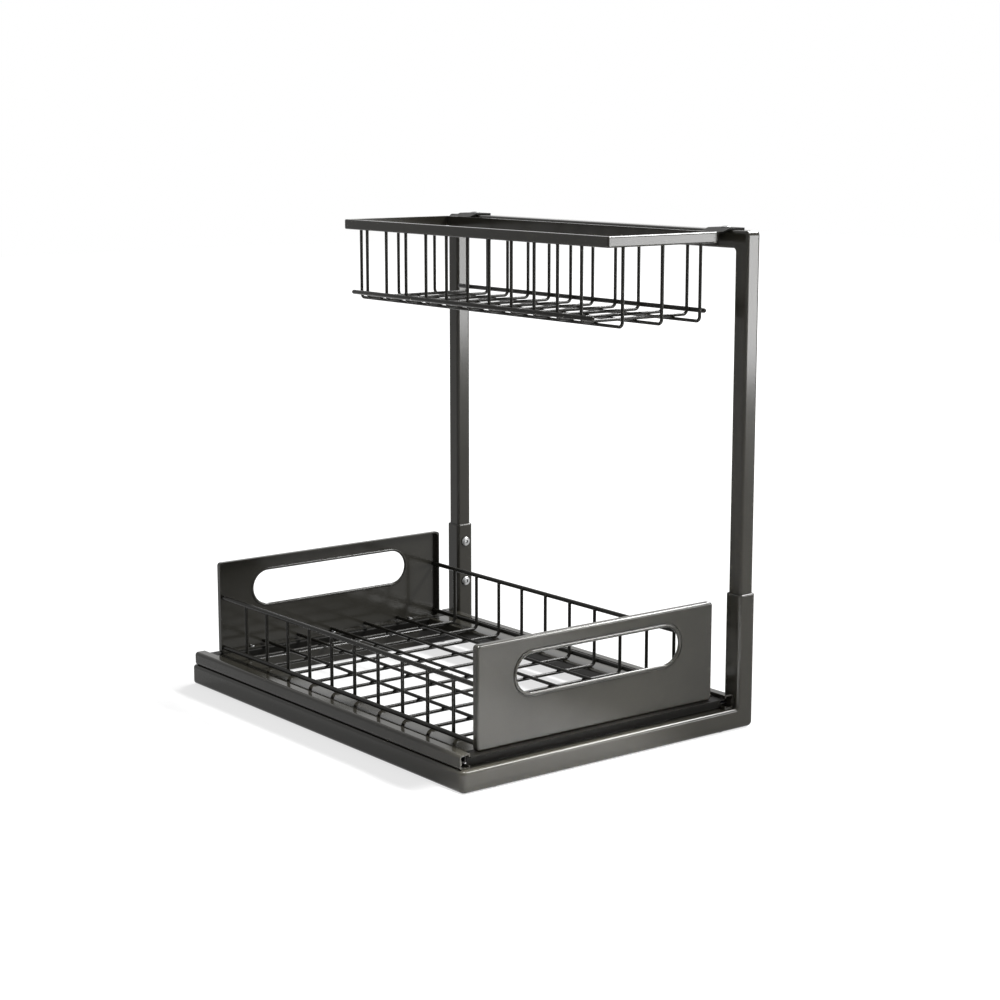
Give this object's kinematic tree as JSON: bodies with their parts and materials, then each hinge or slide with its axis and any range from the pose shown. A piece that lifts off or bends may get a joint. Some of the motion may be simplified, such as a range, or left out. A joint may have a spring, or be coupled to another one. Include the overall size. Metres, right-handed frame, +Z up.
{
  "type": "pull out cabinet basket",
  "caption": "Pull out cabinet basket: a wire drawer with pressed end panels on ball-bearing slides, and a smaller wire basket hung from the tubular post frame above it.",
  "frame": {"origin": "middle of the base on the floor plane, under the feet", "axes": "+Z up, -Y the way the drawer pulls out, +X towards the side with the posts"},
  "size_m": [0.31, 0.416, 0.4248],
  "materials": {
    "powder_coat": "satin",
    "panel_coat": "satin",
    "wire_coat": "satin",
    "zinc_steel": "satin",
    "black_zinc": "satin",
    "ball_steel": "polished",
    "rubber": "matte"
  },
  "bodies": {
    "frame": {"base_frame": "powder_coat", "rubber_feet": "rubber", "post_frame": "powder_coat", "post_screws": "zinc_steel", "left_fixed_rail": "powder_coat", "right_fixed_rail": "powder_coat", "rail_bumpers": "rubber", "basket_rim": "powder_coat", "basket_cross_wires": "wire_coat", "basket_long_wires": "wire_coat", "basket_side_wires": "wire_coat", "hanger_brackets": "powder_coat", "hanger_screws": "zinc_steel"},
    "left_cage": {"left_ball_cage": "zinc_steel", "left_balls": "ball_steel"},
    "right_cage": {"right_ball_cage": "zinc_steel", "right_balls": "ball_steel"},
    "drawer": {"left_sliding_rail": "black_zinc", "right_sliding_rail": "black_zinc", "slide_rivets": "zinc_steel", "front_cross_bar": "wire_coat", "back_cross_bar": "wire_coat", "left_side_bar": "powder_coat", "right_side_bar": "powder_coat", "front_panel": "panel_coat", "back_panel": "panel_coat", "panel_screws": "zinc_steel", "drawer_cross_wires": "wire_coat", "drawer_floor_wires": "wire_coat", "left_side_rails": "wire_coat", "right_side_rails": "wire_coat"}
  },
  "joints": [
    {"name": "drawer_slide", "type": "slide", "parent": "frame", "child": "drawer", "axis": [0, -1, 0], "range_m": [0, 0.27]},
    {"name": "left_cage_slide", "type": "slide", "parent": "frame", "child": "left_cage", "axis": [0, -1, 0], "range_m": [0, 0.135]},
    {"name": "right_cage_slide", "type": "slide", "parent": "frame", "child": "right_cage", "axis": [0, -1, 0], "range_m": [0, 0.135]}
  ],
  "couplings": [
    {"joint": "left_cage_slide", "follows": "drawer_slide", "ratio": 0.5},
    {"joint": "right_cage_slide", "follows": "drawer_slide", "ratio": 0.5}
  ]
}
